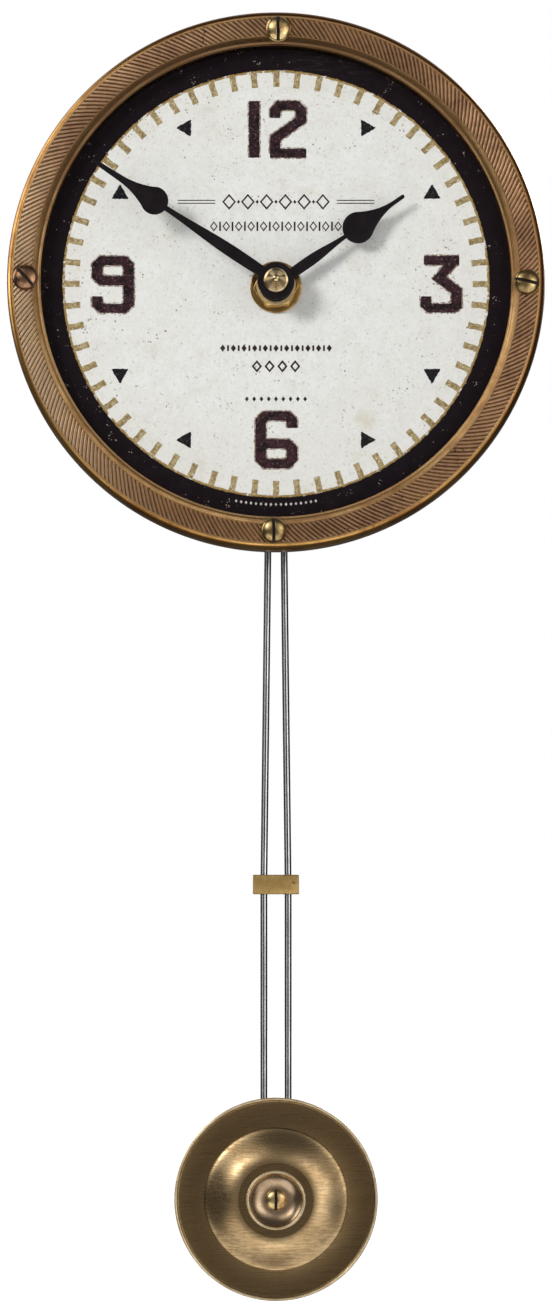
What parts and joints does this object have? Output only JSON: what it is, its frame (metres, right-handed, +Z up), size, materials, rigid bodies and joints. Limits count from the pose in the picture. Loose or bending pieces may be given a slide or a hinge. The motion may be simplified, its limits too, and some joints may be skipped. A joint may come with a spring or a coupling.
{
  "type": "pendulum wall clock",
  "caption": "Round wall clock with a ridged brass bezel, printed dial and spade hands, a quartz movement in an open-backed drum, and a two-rod pendulum with a dished brass bob.",
  "frame": {"origin": "centre of the hanger hole, at the back face of the hanger plate", "axes": "+Z up, -Y out of the dial towards the viewer, +X to the viewer's right; +Y into the wall"},
  "size_m": [0.151, 0.0489, 0.3643],
  "materials": {
    "aged_bronze": "aged, machined ridges, satin",
    "screw_brass": "worn satin",
    "hub_brass": "bright satin",
    "zinc_steel": "zinc plated",
    "drum_paint": "satin dark bronze paint",
    "dial_print": "aged printed card",
    "gasket_rubber": "matt",
    "case_plastic": "moulded, satin",
    "gear_plastic": "moulded, satin",
    "knob_plastic": "moulded",
    "board_green": "solder mask",
    "chip_black": "moulded epoxy",
    "bright_steel": "bright drawn",
    "coil_copper": "enamelled wire",
    "hand_black": "matt black paint",
    "bob_brass": "aged, brushed",
    "hook_brass": "dull",
    "cell_wrap": "printed film"
  },
  "bodies": {
    "case": {"bezel": "aged_bronze", "bezel_screws": "screw_brass", "flange_nuts": "zinc_steel", "case_drum": "drum_paint", "hanger_plate": "zinc_steel", "hanger_rivets": "zinc_steel", "dial_plate": "drum_paint", "dial_paper": "dial_print", "dial_washer": "hub_brass", "centre_nut": "hub_brass", "threaded_bushing": "hub_brass", "rubber_gasket": "gasket_rubber", "movement_tray": "case_plastic", "movement_cover": "case_plastic", "cover_screws": "zinc_steel", "gear_bridge": "gear_plastic", "circuit_board": "board_green", "quartz_crystal": "bright_steel", "ic_chip": "chip_black", "motor_coil": "coil_copper", "motor_stator": "bright_steel", "contact_positive": "bright_steel", "contact_negative": "bright_steel", "pendulum_coil": "coil_copper", "pivot_pin": "zinc_steel"},
    "minute": {"minute_arbor": "bright_steel", "minute_hand": "hand_black", "minute_collet": "hand_black", "cap_nut": "hub_brass"},
    "hour": {"hour_wheel": "gear_plastic", "hour_hand": "hand_black", "hour_collet": "hand_black"},
    "motion_wheel": {"motion_wheel": "gear_plastic"},
    "setting_knob": {"setting_knob": "knob_plastic"},
    "centre_wheel": {"centre_wheel": "gear_plastic"},
    "third_wheel": {"third_wheel": "gear_plastic"},
    "fourth_wheel": {"fourth_wheel": "gear_plastic"},
    "intermediate_wheel": {"intermediate_wheel": "gear_plastic"},
    "rotor": {"rotor": "bright_steel"},
    "pendulum": {"pendulum_leader": "gear_plastic", "drive_magnet": "bright_steel", "rod_hook": "hook_brass", "pendulum_rods": "bright_steel", "guide_bar": "hub_brass"},
    "bob": {"bob_front": "bob_brass", "bob_weight": "zinc_steel", "bob_back": "hook_brass", "bob_screw": "screw_brass", "bob_nut": "zinc_steel"},
    "battery": {"battery_cell": "cell_wrap"}
  },
  "joints": [
    {"name": "minute_turn", "type": "hinge", "parent": "case", "child": "minute", "pos_m": [0, 0, -0.053], "axis": [0, 1, 0], "continuous": true},
    {"name": "hour_turn", "type": "hinge", "parent": "case", "child": "hour", "pos_m": [0, 0, -0.053], "axis": [0, 1, 0], "continuous": true},
    {"name": "motion_wheel_turn", "type": "hinge", "parent": "case", "child": "motion_wheel", "pos_m": [-0.01, 0, -0.053], "axis": [0, 1, 0], "continuous": true},
    {"name": "setting_knob_turn", "type": "hinge", "parent": "case", "child": "setting_knob", "pos_m": [-0.01987, 0, -0.05659], "axis": [0, 1, 0], "continuous": true},
    {"name": "fourth_wheel_turn", "type": "hinge", "parent": "case", "child": "fourth_wheel", "pos_m": [-0.00736, 0, -0.03975], "axis": [0, 1, 0], "continuous": true},
    {"name": "centre_wheel_turn", "type": "hinge", "parent": "case", "child": "centre_wheel", "pos_m": [0, 0, -0.053], "axis": [0, 1, 0], "continuous": true},
    {"name": "third_wheel_turn", "type": "hinge", "parent": "case", "child": "third_wheel", "pos_m": [0, 0, -0.044], "axis": [0, 1, 0], "continuous": true},
    {"name": "intermediate_wheel_turn", "type": "hinge", "parent": "case", "child": "intermediate_wheel", "pos_m": [-0.01436, 0, -0.03975], "axis": [0, 1, 0], "continuous": true},
    {"name": "rotor_turn", "type": "hinge", "parent": "case", "child": "rotor", "pos_m": [-0.01822, 0, -0.04435], "axis": [0, 1, 0], "continuous": true},
    {"name": "pendulum_swing", "type": "hinge", "parent": "case", "child": "pendulum", "pos_m": [0, 0, -0.031], "axis": [0, 1, 0], "range_deg": [-6, 6]},
    {"name": "bob_height", "type": "slide", "parent": "pendulum", "child": "bob", "axis": [0, 0, 1], "range_m": [-0.01, 0.012]},
    {"name": "battery_out", "type": "slide", "parent": "case", "child": "battery", "axis": [0, 1, 0], "range_m": [0, 0.03]}
  ],
  "couplings": [
    {"joint": "hour_turn", "follows": "minute_turn", "ratio": 0.083333},
    {"joint": "motion_wheel_turn", "follows": "minute_turn", "ratio": -0.33333},
    {"joint": "setting_knob_turn", "follows": "minute_turn", "ratio": 0.83333},
    {"joint": "centre_wheel_turn", "follows": "fourth_wheel_turn", "ratio": 0.016667},
    {"joint": "third_wheel_turn", "follows": "fourth_wheel_turn", "ratio": -0.13333},
    {"joint": "intermediate_wheel_turn", "follows": "fourth_wheel_turn", "ratio": -6},
    {"joint": "rotor_turn", "follows": "fourth_wheel_turn", "ratio": 30}
  ]
}
